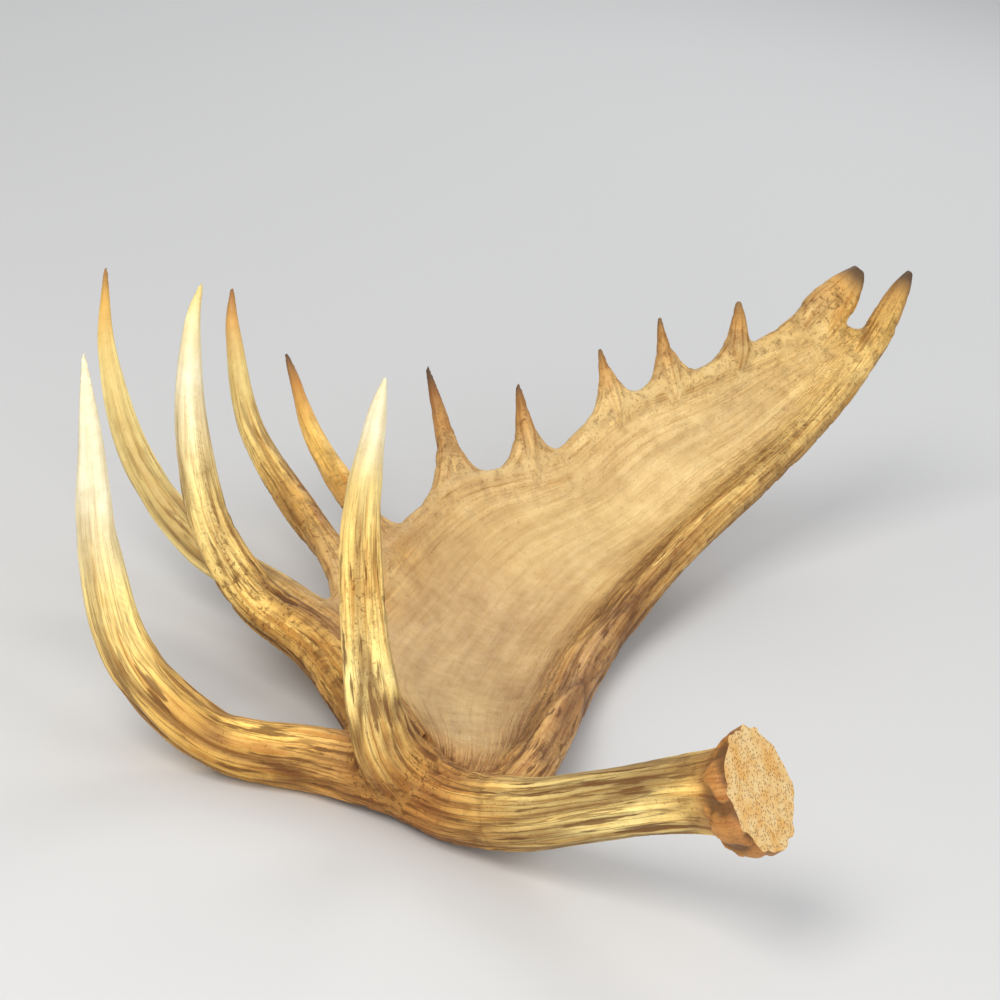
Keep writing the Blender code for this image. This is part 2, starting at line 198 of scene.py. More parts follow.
# ---- how wide each kind of noise is: one size, or the size along the grain and two across it ----
PEARL_CELL = 6 * MM
PIT_CELL = 6 * MM
RIPPLE_CELL = 45 * MM
MOTTLE_CELL = 16 * MM
TINT_CELL = 70 * MM
SWELL_CELL = (120 * MM, 14 * MM, 14 * MM)
RAY_CELL = (50 * MM, 5 * MM, 5 * MM)
WIDE_GROOVE_CELL = (110 * MM, 15 * MM, 15 * MM)
FINE_GROOVE_CELL = (70 * MM, 9 * MM, 9 * MM)

# ---- how strongly each of them tints the bone, and how dark the painted shade in the forks and on the rib is ----
MOTTLE_TINT = 0.30
BROAD_TINT = 0.30
RAY_TINT = 0.50
CREST_TINT = 1.10           # ridge crests are rubbed pale
FORK_PAINTED_SHADE = 0.22           # painted shade: the crotches of the forks are darker
RIB_OUTER_PAINTED_SHADE = 0.32           # painted shade: the rib's outer side is darker too
BURR_TINT = 0.35
SHADE_BY_CHANNEL = np.array((0.85, 1.1, 1.4))   # darker bone is redder, paler bone whiter


# ---------- noise ----------

SKEW = np.array(Matrix.Rotation(math.radians(37), 3, (0.3, 0.8, 0.5)))
HASH_FACTORS = (73856093, 19349663, 83492791)
SEED_FACTOR = 2654435
HASH_STIR = 1274126177


def noise(points, cell, seed=0):
    """Smooth noise from 0 to 1, with features about a cell wide; a cell may differ by axis."""
    scaled = points / cell
    base = np.floor(scaled).astype(np.int64)
    part = scaled - base
    part = part * part * (3 - 2 * part)
    total = np.zeros(len(points))
    for corner in range(8):
        step = np.array((corner & 1, corner >> 1 & 1, corner >> 2 & 1))
        at = base + step
        by_axis = at * HASH_FACTORS
        mixed = by_axis[:, 0] ^ by_axis[:, 1] ^ by_axis[:, 2] ^ (seed + 1) * SEED_FACTOR
        mixed = (mixed ^ mixed >> 13) * HASH_STIR
        value = (mixed >> 8 & 0xffff) / 0xffff
        total += value * np.prod(np.where(step, part, 1 - part), axis=1)
    return total


def layered_noise(points, cell, seed=0):
    """Three sizes of noise added up, from 0 to 1; noise that is alike along all axes is turned off them."""
    cell = np.asarray(cell, float)
    if cell.ndim == 0:
        points = points @ SKEW
    return (noise(points, cell, seed) * 4 + noise(points, cell / 2, seed + 7) * 2
            + noise(points, cell / 4, seed + 13)) / 7


def ramp(value, low, high):
    """0 below low, 1 above high, smooth between; low may be the larger."""
    share = np.clip((value - low) / (high - low), 0, 1)
    return share * share * (3 - 2 * share)


# ---------- branches and blade ----------

POINTS_AT_ONCE = 20000      # in a search for the nearest place, to save memory


def catmull_rom(before, start, end, after, t):
    """Point at share t of the smooth curve from start to end."""
    return 0.5 * (2 * start + (end - before) * t + (2 * before - 5 * start + 4 * end - after) * t ** 2
                  + (3 * start - before - 3 * end + after) * t ** 3)


def smooth_path(stations, steps):
    """Rows of x, y, z, radius in metres along the smooth curve through the stations."""
    knots = np.array(stations, float) * MM
    knots = np.vstack((2 * knots[0] - knots[1], knots, 2 * knots[-1] - knots[-2]))
    path = [catmull_rom(*knots[i - 1:i + 3], step / steps)
            for i in range(1, len(knots) - 2) for step in range(steps)]
    path = np.array(path + [knots[-2]])
    path[:, 3] = np.maximum(path[:, 3], 1.0 * MM)
    return path


def unit(vectors):
    """The vectors at length 1."""
    return vectors / np.maximum(np.linalg.norm(vectors, axis=-1, keepdims=True), 1e-12)


class Branch:
    """A tapered branch, and where a point is along and around it."""

    SIDES = 20
    OFF_AXIS = (0.31, 0.17, 0.93)       # a direction that no branch starts along

    def __init__(self, stations):
        path = smooth_path(stations, BRANCH_STEPS)
        self.place = path[:, :3]
        self.radius = path[:, 3]
        self.heading = unit(np.gradient(self.place, axis=0))
        steps = np.linalg.norm(np.diff(self.place, axis=0), axis=1)
        self.along = np.concatenate(((0.0,), np.cumsum(steps)))
        across = unit(np.cross(self.heading[0], self.OFF_AXIS))
        sides = []
        for heading in self.heading:
            across = unit(across - heading * (across @ heading))
            sides.append(across)
        self.across = np.array(sides)
        self.upward = np.cross(self.heading, self.across)

    def at(self, share):
        """Place and heading at a share of the branch's length."""
        along = share * self.along[-1]
        place = [np.interp(along, self.along, self.place[:, axis]) for axis in range(3)]
        heading = [np.interp(along, self.along, self.heading[:, axis]) for axis in range(3)]
        return np.array(place), unit(np.array(heading))

    def add_tube(self, bm):
        """Adds the branch to bm as a closed tube."""
        turns = np.linspace(0, 2 * math.pi, self.SIDES, endpoint=False)
        rings = []
        for place, radius, across, upward in zip(self.place, self.radius, self.across, self.upward):
            ring = [place + radius * (math.cos(turn) * across + math.sin(turn) * upward) for turn in turns]
            rings.append([bm.verts.new(corner) for corner in ring])
        for low, high in zip(rings, rings[1:]):
            for i in range(self.SIDES):
                j = (i + 1) % self.SIDES
                bm.faces.new((low[i], low[j], high[j], high[i]))
        bm.faces.new(rings[0][::-1])
        bm.faces.new(rings[-1])

    def survey(self, points):
        """Each point's gap to the branch's skin, its share of the length, and its grain coordinates."""
        nearest = nearest_row(points, self.place)
        offset = points - self.place[nearest]
        ahead = np.einsum("ij,ij->i", offset, self.heading[nearest])
        along = np.clip(self.along[nearest] + ahead, 0, self.along[-1])
        radius = np.interp(along, self.along, self.radius)
        across = np.einsum("ij,ij->i", offset, self.across[nearest])
        upward = np.einsum("ij,ij->i", offset, self.upward[nearest])
        gap = np.linalg.norm(offset, axis=1) - radius
        swell = self.radius.mean() / np.maximum(np.hypot(across, upward), 1 * MM)
        grain = np.column_stack((along, across * swell, upward * swell))
        return gap, along / self.along[-1], grain


def nearest_row(points, places):
    """Index of the place nearest to each point."""
    found = np.empty(len(points), int)
    places = places.astype(np.float32)
    reach = np.einsum("ij,ij->i", places, places)
    for start in range(0, len(points), POINTS_AT_ONCE):
        some = points[start:start + POINTS_AT_ONCE].astype(np.float32)
        found[start:start + POINTS_AT_ONCE] = np.argmin(reach - 2 * some @ places.T, axis=1)
    return found


def point_at(path, share):
    """Position at a share of a path's length."""
    steps = np.linalg.norm(np.diff(path[:, :3], axis=0), axis=1)
    along = np.concatenate(((0.0,), np.cumsum(steps)))
    return np.array([np.interp(share * along[-1], along, path[:, axis]) for axis in range(3)])


def web_stations(name):
    """Two strokes that flare a point's foot along the blade's edge, one on either side."""
    spread, reach = WEBS[name]
    edge = smooth_path(BRANCHES["edge"], BLADE_STEPS)
    length = np.linalg.norm(np.diff(edge[:, :3], axis=0), axis=1).sum()
    root = np.array(BRANCHES[name][0][:3])
    shares = np.linspace(0, 1, 201)
    off_edge = [np.linalg.norm(point_at(edge, share) - root * MM) for share in shares]
    root_share = shares[np.argmin(off_edge)]
    top = point_at(smooth_path(BRANCHES[name], BRANCH_STEPS), reach) / MM
    strokes = []
    for side in (-spread, spread):
        foot = point_at(edge, np.clip(root_share + side * MM / length, 0, 1)) / MM
        middle = (foot * 0.6 + top * 0.4) * 0.8 + root * 0.2
        strokes.append([(*place, WEB_RADIUS) for place in (foot, middle, top)])
    return strokes


class Blade:
    """The cupped plate between the rear rib and the tined edge, and where a point is on it."""

    LENGTH = 0.60
    WIDTH = 0.14

    def __init__(self):
        rear = smooth_path(BRANCHES["rib"], BLADE_STEPS)
        front = smooth_path(BRANCHES["edge"], BLADE_STEPS)
        shares, depths = zip(*CUP_DEPTHS)
        rows = []
        for share in np.linspace(0, 1, BLADE_ROWS + 1):
            low, high = point_at(rear, share), point_at(front, share)
            depth = np.interp(share, shares, depths) * MM
            rows.append([low + (high - low) * across + CUP_DIRECTION * depth * 4 * across * (1 - across)
                         for across in np.linspace(0, 1, BLADE_COLUMNS + 1)])
        self.grid = np.array(rows)
        self.lengthwise = np.gradient(self.grid, axis=0)
        self.crosswise = np.gradient(self.grid, axis=1)
        outward = unit(np.cross(self.lengthwise, self.crosswise))
        self.outward = outward * np.sign(outward @ CUP_DIRECTION)[..., None]

    def add_plate(self, bm):
        """Adds the blade to bm as a closed plate."""
        half = self.outward * BLADE_THICKNESS / 2
        skins = [[[bm.verts.new(place) for place in row] for row in self.grid + side]
                 for side in (half, -half)]
        outer, inner = skins
        for side, flipped in ((outer, False), (inner, True)):
            for low, high in zip(side, side[1:]):
                for j in range(BLADE_COLUMNS):
                    corners = (low[j], low[j + 1], high[j + 1], high[j])
                    bm.faces.new(corners[::-1] if flipped else corners)
        rim = [(0, j) for j in range(BLADE_COLUMNS)]
        rim += [(i, BLADE_COLUMNS) for i in range(BLADE_ROWS)]
        rim += [(BLADE_ROWS, j) for j in range(BLADE_COLUMNS, 0, -1)]
        rim += [(i, 0) for i in range(BLADE_ROWS, 0, -1)]
        for (row, column), (next_row, next_column) in zip(rim, rim[1:] + rim[:1]):
            bm.faces.new((outer[row][column], inner[row][column],
                          inner[next_row][next_column], outer[next_row][next_column]))

    def survey(self, points):
        """Each point's gap to the blade's skin, its share of the length, and its grain coordinates."""
        nearest = nearest_row(points, self.grid.reshape(-1, 3))
        row, column = np.divmod(nearest, BLADE_COLUMNS + 1)
        offset = points - self.grid[row, column]
        ahead, aside = self.lengthwise[row, column], self.crosswise[row, column]
        by_row, by_column = (np.einsum("ij,ij->i", offset, way) for way in (ahead, aside))
        pairs = ((ahead, ahead), (aside, aside), (ahead, aside))
        long, wide, skew = (np.einsum("ij,ij->i", one, other) for one, other in pairs)
        spread = long * wide - skew ** 2
        row = row + np.clip((by_row * wide - by_column * skew) / spread, -1, 1)
        column = column + np.clip((by_column * long - by_row * skew) / spread, -1, 1)
        share, across = row / BLADE_ROWS, column / BLADE_COLUMNS
        whole = np.column_stack((share * self.LENGTH, across * self.WIDTH, np.zeros(len(points))))
        gap = np.linalg.norm(points - self.place(share, across), axis=1) - BLADE_THICKNESS / 2
        return gap, share, whole

    def rearward(self, points):
        """Direction across the blade toward its rear rib, at each point."""
        nearest = nearest_row(points, self.grid.reshape(-1, 3))
        return -unit(self.crosswise.reshape(-1, 3)[nearest])

    def place(self, share, across):
        """Point of the mid surface at shares of its length and width."""
        row = np.clip(share * BLADE_ROWS, 0, BLADE_ROWS - 1e-6)
        column = np.clip(across * BLADE_COLUMNS, 0, BLADE_COLUMNS - 1e-6)
        i, j = row.astype(int), column.astype(int)
        u, v = (row - i)[:, None], (column - j)[:, None]
        near = self.grid[i, j] * (1 - v) + self.grid[i, j + 1] * v
        far = self.grid[i + 1, j] * (1 - v) + self.grid[i + 1, j + 1] * v
        return near * (1 - u) + far * u


# ---------- skin ----------

def fused_skin(limbs, blade):
    """One mesh of small quads around all the branches and the blade."""
    bm = bmesh.new()
    for limb in limbs.values():
        limb.add_tube(bm)
    blade.add_plate(bm)
    bmesh.ops.recalc_face_normals(bm, faces=bm.faces)
    mesh = bpy.data.meshes.new("skin")
    bm.to_mesh(mesh)
    bm.free()
    holder = bpy.data.objects.new("skin", mesh)
    bpy.context.scene.collection.objects.link(holder)
    fuse = holder.modifiers.new("fuse", "REMESH")
    fuse.mode = "VOXEL"
    fuse.voxel_size = VOXEL
    graph = bpy.context.evaluated_depsgraph_get()
    skin = bpy.data.meshes.new_from_object(holder.evaluated_get(graph))
    bpy.data.objects.remove(holder)
    return skin


class Skin:
    """Vertex places and normals of a mesh, with smoothing over its edges."""

    def __init__(self, mesh):
        self.mesh = mesh
        self.count = len(mesh.vertices)
        self.places = np.empty(self.count * 3)
        mesh.vertices.foreach_get("co", self.places)
        self.places = self.places.reshape(-1, 3)
        edges = np.empty(len(mesh.edges) * 2, int)
        mesh.edges.foreach_get("vertices", edges)
        self.start, self.end = edges.reshape(-1, 2).T
        self.neighbours = np.bincount(edges, minlength=self.count)[:, None]

    def around(self, values):
        """Mean of the values at each vertex's neighbours."""
        total = np.empty_like(values)
        for column in range(values.shape[1]):
            total[:, column] = (np.bincount(self.start, values[self.end, column], self.count)
                                + np.bincount(self.end, values[self.start, column], self.count))
        return total / self.neighbours

    def normals(self):
        """Vertex normals of the places."""
        self.mesh.vertices.foreach_set("co", self.places.ravel())
        self.mesh.update()
        normals = np.empty(self.count * 3)
        self.mesh.vertex_normals.foreach_get("vector", normals)
        return normals.reshape(-1, 3)

    def fair(self, passes):
        """Smooths the places, and puts back the size that smoothing takes away."""
        for _ in range(passes):
            self.places = self.places + 0.5 * (self.around(self.places) - self.places)
            self.places = self.places - 0.52 * (self.around(self.places) - self.places)

    def fill(self, passes):
        """Moves vertices outward only, so hollows between branches fill in and nothing shrinks."""
        for number in range(passes):
            if number % 5 == 0:
                normals = self.normals()
            pull = self.around(self.places) - self.places
            outward = np.maximum(np.einsum("ij,ij->i", pull, normals), 0)
            self.places = self.places + 0.7 * outward[:, None] * normals


def mixed_looks(look, share):
    """Colour, groove depth and pitting at each share of a branch's length."""
    shares = [stop[0] for stop in look]
    colour = np.column_stack([np.interp(share, shares, [stop[1][channel] for stop in look])
                              for channel in range(3)])
    groove = np.interp(share, shares, [stop[2] for stop in look]) * MM
    pits = np.interp(share, shares, [stop[3] for stop in look])
    return colour, groove, pits


def groove_lines(grain, seed):
    """Long thin grooves that wander along the grain, from 0 to 1."""
    wide = noise(grain, WIDE_GROOVE_CELL, seed)
    fine = noise(grain, FINE_GROOVE_CELL, seed + 31)
    return np.maximum(ramp(abs(wide - 0.5), 0.13, 0.0), 0.7 * ramp(abs(fine - 0.5), 0.17, 0.0))


def blade_looks(share, back):
    """Colour, groove depth and pitting of the blade, whose back differs from its cupped face."""
    blends = (back, back[:, 0], back[:, 0])
    sides = zip(mixed_looks(CUPPED_FACE, share), mixed_looks(BACK_FACE, share), blends)
    return [face * (1 - blend) + rear * blend for face, rear, blend in sides]


def shares_by_gap(gaps, reach):
    """Share of each branch in the looks of each vertex, by how near its skin is."""
    weights = np.exp(-(gaps - gaps.min(axis=1, keepdims=True)) / reach)
    return weights / weights.sum(axis=1, keepdims=True)


class Detail:
    """What the bone is like at each vertex of the skin: its relief, and the attributes it is shaded by."""

    def __init__(self, skin, limbs, blade):
        self.skin = skin
        self.limbs = limbs
        self.blade = blade
        self.places = skin.places
        self.normals = skin.normals()
        self.surveys = {name: limb.survey(self.places) for name, limb in limbs.items()}
        self.surveys["blade"] = blade.survey(self.places)
        self.names = list(self.surveys)
        gaps = np.column_stack([self.surveys[name][0] for name in self.names])
        self.weights = shares_by_gap(gaps, COLOUR_REACH)
        self.leader = gaps.argmin(axis=1)
        self.sure = ramp(shares_by_gap(gaps, GRAIN_REACH).max(axis=1), 0.5, 0.62)
        self.gather()
        self.press()
        self.paint()

    def gather(self):
        """Mixes the looks of the branches around each vertex, and takes the grain of the nearest."""
        count = self.skin.count
        back = ramp(self.normals @ CUP_DIRECTION, -0.2, 0.3)[:, None]
        self.colour = np.zeros((count, 3))
        self.grain = np.zeros((count, 3))
        self.groove, self.pits, self.carved, self.crest = (np.zeros(count) for _ in range(4))
        for number, name in enumerate(self.names):
            near = self.weights[:, number] > 0.01
            weight = self.weights[near, number]
            _, share, grain = (values[near] for values in self.surveys[name])
            if name == "blade":
                colour, groove, pits = blade_looks(share, back[near])
                grain[:, 2] = BACK_GRAIN * back[near][:, 0].round()
            else:
                look = WEB_LOOK if name.startswith("web") else LOOKS.get(name, POINT_LOOK)
                colour, groove, pits = mixed_looks(look, share)
            self.colour[near] += colour * weight[:, None]
            self.pits[near] += pits * weight
            self.groove[near] += groove * weight
            self.carved[near] += groove * weight * groove_lines(grain, number * 5)
            swells = layered_noise(grain, SWELL_CELL, number * 5 + 2) - 0.5
            self.crest[near] += groove / MM * weight * swells
            leads = self.leader[near] == number
            self.grain[np.flatnonzero(near)[leads]] = grain[leads] + (GRAIN_STEP * number, 0, 0)
        # the crotches of the forks: darkened in paint() as painted shade, and pitted
        fork = 1 - ramp(self.weights.max(axis=1), 0.42, 0.75)
        self.forked = fork * ramp(self.groove, 0.7 * MM, 1.3 * MM)
        self.pits = np.maximum(self.pits, 0.85 * self.forked)

    def press(self):
        """Moves the skin by its ridges, grooves, pits, the burr's pearls and a slow ripple."""
        self.pitted = ramp(layered_noise(self.places, PIT_CELL, 91), 0.47, 0.30) * self.pits
        self.burr = ramp(self.surveys["shaft"][1], PEARLED_SHARE, 0.7 * PEARLED_SHARE)
        self.burr = self.burr * (self.leader == self.names.index("shaft"))
        self.pearls = ramp(noise(self.places @ SKEW, PEARL_CELL, 17), 0.3, 0.75) * self.burr
        ripple = layered_noise(self.places, RIPPLE_CELL, 5) - 0.5
        lift = self.crest * SWELL - self.carved - self.pitted * PIT_DEPTH + self.pearls * PEARL_HEIGHT
        lift += ripple * RIPPLE * np.minimum(1, self.own_radius() / FULL_RADIUS)
        self.skin.places = self.places + self.normals * lift[:, None]

    def own_radius(self):
        """Radius of each vertex's own branch where the vertex is."""
        radius = np.full(self.skin.count, BLADE_THICKNESS)
        for number, name in enumerate(self.names):
            if name in self.limbs:
                limb = self.limbs[name]
                mine = self.leader == number
                along = self.surveys[name][1][mine] * limb.along[-1]
                radius[mine] = np.interp(along, limb.along, limb.radius)
        return radius

    def paint(self):
        """Tints the colour by mottling and ridges, paints shade into the crotches of the forks and onto the
        rib's outer side, and stains the hollows.
        """
        mottle = layered_noise(self.places, MOTTLE_CELL, 41) - 0.5
        broad = layered_noise(self.places, TINT_CELL, 43) - 0.5
        rays = layered_noise(self.grain, RAY_CELL, 47) - 0.5
        shade = 1 + MOTTLE_TINT * mottle + BROAD_TINT * broad + RAY_TINT * self.sure * rays
        # painted shade in the crotches of the forks
        shade = shade * (1 + CREST_TINT * self.crest) * (1 - FORK_PAINTED_SHADE * self.forked)
        # painted shade on the rib's outer side, the side facing away from the blade
        rearward = self.blade.rearward(self.places)
        outer = ramp(np.einsum("ij,ij->i", self.normals, rearward), 0.25, 0.85)
        shade = shade * (1 - RIB_OUTER_PAINTED_SHADE * outer * self.weights[:, self.names.index("rib")])
        colour = self.colour * shade[:, None] ** SHADE_BY_CHANNEL
        depth = self.carved / np.maximum(self.groove, 0.1 * MM)
        stain = depth * ramp(self.groove, 0.1 * MM, 1.2 * MM) * 0.75 + self.pitted * 0.5
        self.stain = np.clip(stain, 0, 1)
        colour = colour * (1 - self.stain[:, None]) + CREVICE * self.stain[:, None]
        pearled = self.burr * (2 * ramp(self.pearls, 0.1, 0.8) - 1.5)
        self.colour = colour * (1 + BURR_TINT * pearled[:, None])

    def attributes(self):
        """Name, kind, data key and values of each attribute that the bone material reads."""
        streak = ramp(self.groove, 0.1 * MM, 1.3 * MM) * self.sure
        rough = np.clip(self.pits + 0.3 * self.stain, 0, 1)
        paint = np.column_stack((self.colour, np.ones(self.skin.count)))
        return (("paint", "FLOAT_COLOR", "color", paint), ("grain", "FLOAT_VECTOR", "vector", self.grain),
                ("streak", "FLOAT", "value", streak), ("flow", "FLOAT", "value", self.sure),
                ("rough", "FLOAT", "value", rough))


def build_skin():
    """The branches, the skin around them in the animal's frame, and its detail."""
    limbs = {name: Branch(stations) for name, stations in BRANCHES.items()}
    for name in WEBS:
        for side, stations in zip("ab", web_stations(name)):
            limbs[f"web_{side}_{name}"] = Branch(stations)
    blade = Blade()
    skin = Skin(fused_skin(limbs, blade))
    skin.fair(FAIRING_PASSES)
    skin.fill(FILLING_PASSES)
    skin.fair(LAST_FAIRING_PASSES)
    return limbs, skin, Detail(skin, limbs, blade)


def face_centres(mesh):
    """Centre and first vertex of each face."""
    corners = np.empty(len(mesh.loops), int)
    mesh.loops.foreach_get("vertex_index", corners)
    starts = np.empty(len(mesh.polygons), int)
    mesh.polygons.foreach_get("loop_start", starts)
    centres = np.empty(len(mesh.polygons) * 3)
    mesh.polygons.foreach_get("center", centres)
    return centres.reshape(-1, 3), corners[starts]


def saw(mesh, limbs, detail):
    """Cuts the skin flat at each saw cut, and writes each face's CAD node into the attribute owner."""
    centres, first = face_centres(mesh)
    leader = detail.leader[first]
    owner = np.zeros(len(centres), int)
    cuts = []
    for number, (branch, cut) in enumerate(SAW_CUTS.values(), start=1):
        place, heading = limbs[branch].at(cut)
        if branch == "shaft":
            heading = -heading
        share = detail.surveys[branch][1][first]
        past = (centres - place) @ heading
        near = abs(share - cut) < NEAR_CUT
        own = [i for i, name in enumerate(detail.names) if name == branch or name.endswith("_" + branch)]
        mine = np.isin(leader, own)
        owner[mine & np.where(near, past > 0, (share > cut) != (branch == "shaft"))] = number
        cuts.append((number, place, heading, np.flatnonzero(mine & near & (abs(past) < 2 * VOXEL))))

    bm = bmesh.new()
    bm.from_mesh(mesh)
    layer = bm.faces.layers.int.new("owner")
    for face, number in zip(bm.faces, owner.tolist()):
        face[layer] = number
    bm.faces.ensure_lookup_table()
    bands = [[bm.faces[i] for i in band] for _, _, _, band in cuts]
    for (number, place, heading, _), band in zip(cuts, bands):
        edges = dict.fromkeys(edge for face in band for edge in face.edges)
        verts = dict.fromkeys(vert for face in band for vert in face.verts)
        done = bmesh.ops.bisect_plane(bm, geom=[*verts, *edges, *band], plane_co=place, plane_no=heading)
        for face in done["geom"]:
            if isinstance(face, bmesh.types.BMFace):
                past = (face.calc_center_median() - Vector(place)).dot(Vector(heading))
                face[layer] = number if past > 0 else 0
    bm.to_mesh(mesh)
    bm.free()


def write_attributes(mesh, detail, normals):
    """Writes the detail, and the normals of the whole skin, onto the mesh."""
    skin_normal = ("skin_normal", "FLOAT_VECTOR", "vector", normals)
    for name, kind, key, values in (*detail.attributes(), skin_normal):
        layer = mesh.attributes.new(name, kind, "POINT")
        layer.data.foreach_set(key, np.ascontiguousarray(values, np.float32).ravel())


def cut_out(mesh, node, mine, base, outward):
    """The faces of one node as a closed mesh; the beam is also trimmed flat at its sawn base."""
    bm = bmesh.new()
    bm.from_mesh(mesh)
    bm.faces.ensure_lookup_table()
    others = [bm.faces[i] for i in np.flatnonzero(~mine)]
    bmesh.ops.delete(bm, geom=others, context="FACES")
    if node == "beam":
        bmesh.ops.bisect_plane(bm, geom=bm.verts[:] + bm.edges[:] + bm.faces[:], plane_co=base,
                               plane_no=outward, clear_outer=True)
    keep_largest(bm)
    cap = bm.faces.layers.int.new("cap")
    rims = [edge for edge in bm.edges if edge.is_boundary]
    for face in bmesh.ops.holes_fill(bm, edges=rims, sides=0)["faces"]:
        face[cap] = 1
        past_base = (face.calc_center_median() - Vector(base)).dot(Vector(outward))
        face.material_index = int(node == "beam" and abs(past_base) < MM)
    piece = bpy.data.meshes.new(node)
    bm.to_mesh(piece)
    bm.free()
    piece = thinned(piece)
    set_normals(piece)
    return piece


def build_pieces(materials):
    """Parts the skin at the saw cuts, lays it down, and makes one object for each CAD node."""
    limbs, skin, detail = build_skin()
    mesh = skin.mesh
    write_attributes(mesh, detail, skin.normals())
    saw(mesh, limbs, detail)
    owner = np.empty(len(mesh.polygons), int)
    mesh.attributes["owner"].data.foreach_get("value", owner)
    shaft = limbs["shaft"]
    base = shaft.place[0] + shaft.heading[0] * BASE_TRIM
    pieces = {node: cut_out(mesh, node, owner == number, base, -shaft.heading[0])
              for number, node in enumerate(["palm", *SAW_CUTS])}
    lay_down(pieces.values())
    for node, piece_mesh in pieces.items():
        piece_mesh.materials.append(materials["bone"])
        piece_mesh.materials.append(materials["sawn"])
        piece = bpy.data.objects.new(node + "_skin", piece_mesh)
        bpy.context.scene.collection.objects.link(piece)
        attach(piece, "root")
        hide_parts(node)


def keep_largest(bm):
    """Deletes every island of faces but the largest."""
    left = set(bm.faces)
    islands = []
    while left:
        stack = [left.pop()]
        island = set(stack)
        while stack:
            for edge in stack.pop().edges:
                for face in edge.link_faces:
                    if face in left:
                        left.discard(face)
                        island.add(face)
                        stack.append(face)
        islands.append(island)
    islands.sort(key=len)
    strays = [face for island in islands[:-1] for face in island]
    if strays:
        bmesh.ops.delete(bm, geom=strays, context="FACES")


def thinned(mesh):
    """The mesh, or where it has too many triangles, a lighter one that keeps its shape."""
    count = sum(len(face.vertices) - 2 for face in mesh.polygons)
    if count <= MOST_TRIANGLES:
        return mesh
    holder = bpy.data.objects.new("thinned", mesh)
    bpy.context.scene.collection.objects.link(holder)
    thin = holder.modifiers.new("thin", "DECIMATE")
    thin.ratio = MOST_TRIANGLES / count
    graph = bpy.context.evaluated_depsgraph_get()
    lighter = bpy.data.meshes.new_from_object(holder.evaluated_get(graph))
    bpy.data.objects.remove(holder)
    return lighter


def set_normals(mesh):
    """Gives the skin the normals of the whole antler, so that no cut between pieces shows."""
    own = np.empty(len(mesh.vertices) * 3, np.float32)
    mesh.attributes["skin_normal"].data.foreach_get("vector", own)
    corners = np.empty(len(mesh.loops), int)
    mesh.loops.foreach_get("vertex_index", corners)
    normals = own.reshape(-1, 3)[corners]
    caps = mesh.attributes["cap"].data
    for face in mesh.polygons:
        if caps[face.index].value:
            for corner in face.loop_indices:
                normals[corner] = face.normal
    mesh.shade_smooth()
    mesh.normals_split_custom_set(normals.tolist())
    mesh.attributes.remove(mesh.attributes["skin_normal"])
    mesh.attributes.remove(mesh.attributes["cap"])


def lay_down(meshes):
    """Turns the pieces into the resting pose, on Z = 0 and centred over the origin."""
    down = FLOOR_DIRECTION.normalized()
    laying = down.rotation_difference(Vector((0, 0, -1))).to_matrix().to_4x4()
    turn = Matrix.Rotation(HEADING, 4, "Z") @ laying
    low, high = np.full(3, np.inf), np.full(3, -np.inf)
    for mesh in meshes:
        mesh.transform(turn)
        places = np.empty(len(mesh.vertices) * 3)
        mesh.vertices.foreach_get("co", places)
        low = np.minimum(low, places.reshape(-1, 3).min(axis=0))
        high = np.maximum(high, places.reshape(-1, 3).max(axis=0))
    shift = Matrix.Translation((-(low[0] + high[0]) / 2, -(low[1] + high[1]) / 2, -low[2]))
    for mesh in meshes:
        mesh.transform(shift)


# ---------- materials ----------

CLOUD_TINT = (0.80, 0.70, 0.55, 1.0)        # multiplied into the painted colour
FIBRE_TINT = (0.70, 0.50, 0.28, 1.0)
BLEACH_TINT = (1.30, 1.24, 1.12, 1.0)


class Nodes:
    """Short ways to add linked shader nodes to a material."""

    def __init__(self, name):
        self.material = bpy.data.materials.new(name)
        self.material.use_nodes = True
        self.tree = self.material.node_tree
        self.shader = self.tree.nodes["Principled BSDF"]

    def add(self, kind, **settings):
        """A node with its properties set and, for keys that name sockets, its inputs set or linked."""
        node = self.tree.nodes.new(kind)
        inputs = settings.pop("inputs", {})
        for key, value in settings.items():
            setattr(node, key, value)
        for key, value in inputs.items():
            self.feed(node.inputs[key], value)
        return node

    def feed(self, socket, value):
        """Links an output to the socket, or sets the socket's own value."""
        if isinstance(value, bpy.types.NodeSocket):
            self.tree.links.new(value, socket)
        else:
            socket.default_value = value

    def attribute(self, name, output):
        """An attribute's output."""
        return self.add("ShaderNodeAttribute", attribute_name=name).outputs[output]

    def math(self, operation, a, b=0.0, c=0.0):
        """A Math node's result."""
        return self.add("ShaderNodeMath", operation=operation, inputs={0: a, 1: b, 2: c}).outputs[0]

    def spread(self, value, low, high, to_low, to_high):
        """The value mapped smoothly from one range to another."""
        return self.add("ShaderNodeMapRange", interpolation_type="SMOOTHSTEP",
                        inputs={0: value, 1: low, 2: high, 3: to_low, 4: to_high}).outputs[0]

    def noise(self, vector, stretch, detail=3.0, roughness=0.55):
        """Noise with that many features per metre along each axis of the vector."""
        mapped = self.add("ShaderNodeVectorMath", operation="MULTIPLY", inputs={0: vector, 1: stretch})
        inputs = {"Vector": mapped.outputs[0], "Scale": 1.0, "Detail": detail, "Roughness": roughness}
        return self.add("ShaderNodeTexNoise", inputs=inputs).outputs["Fac"]

    def mix(self, share, a, b, blend="MIX"):
        """Two colours mixed."""
        return self.add("ShaderNodeMix", data_type="RGBA", blend_type=blend,
                        inputs={0: share, 6: a, 7: b}).outputs[2]


def rgba(colour):
    """A linear colour with full alpha."""
    return (*colour, 1.0)


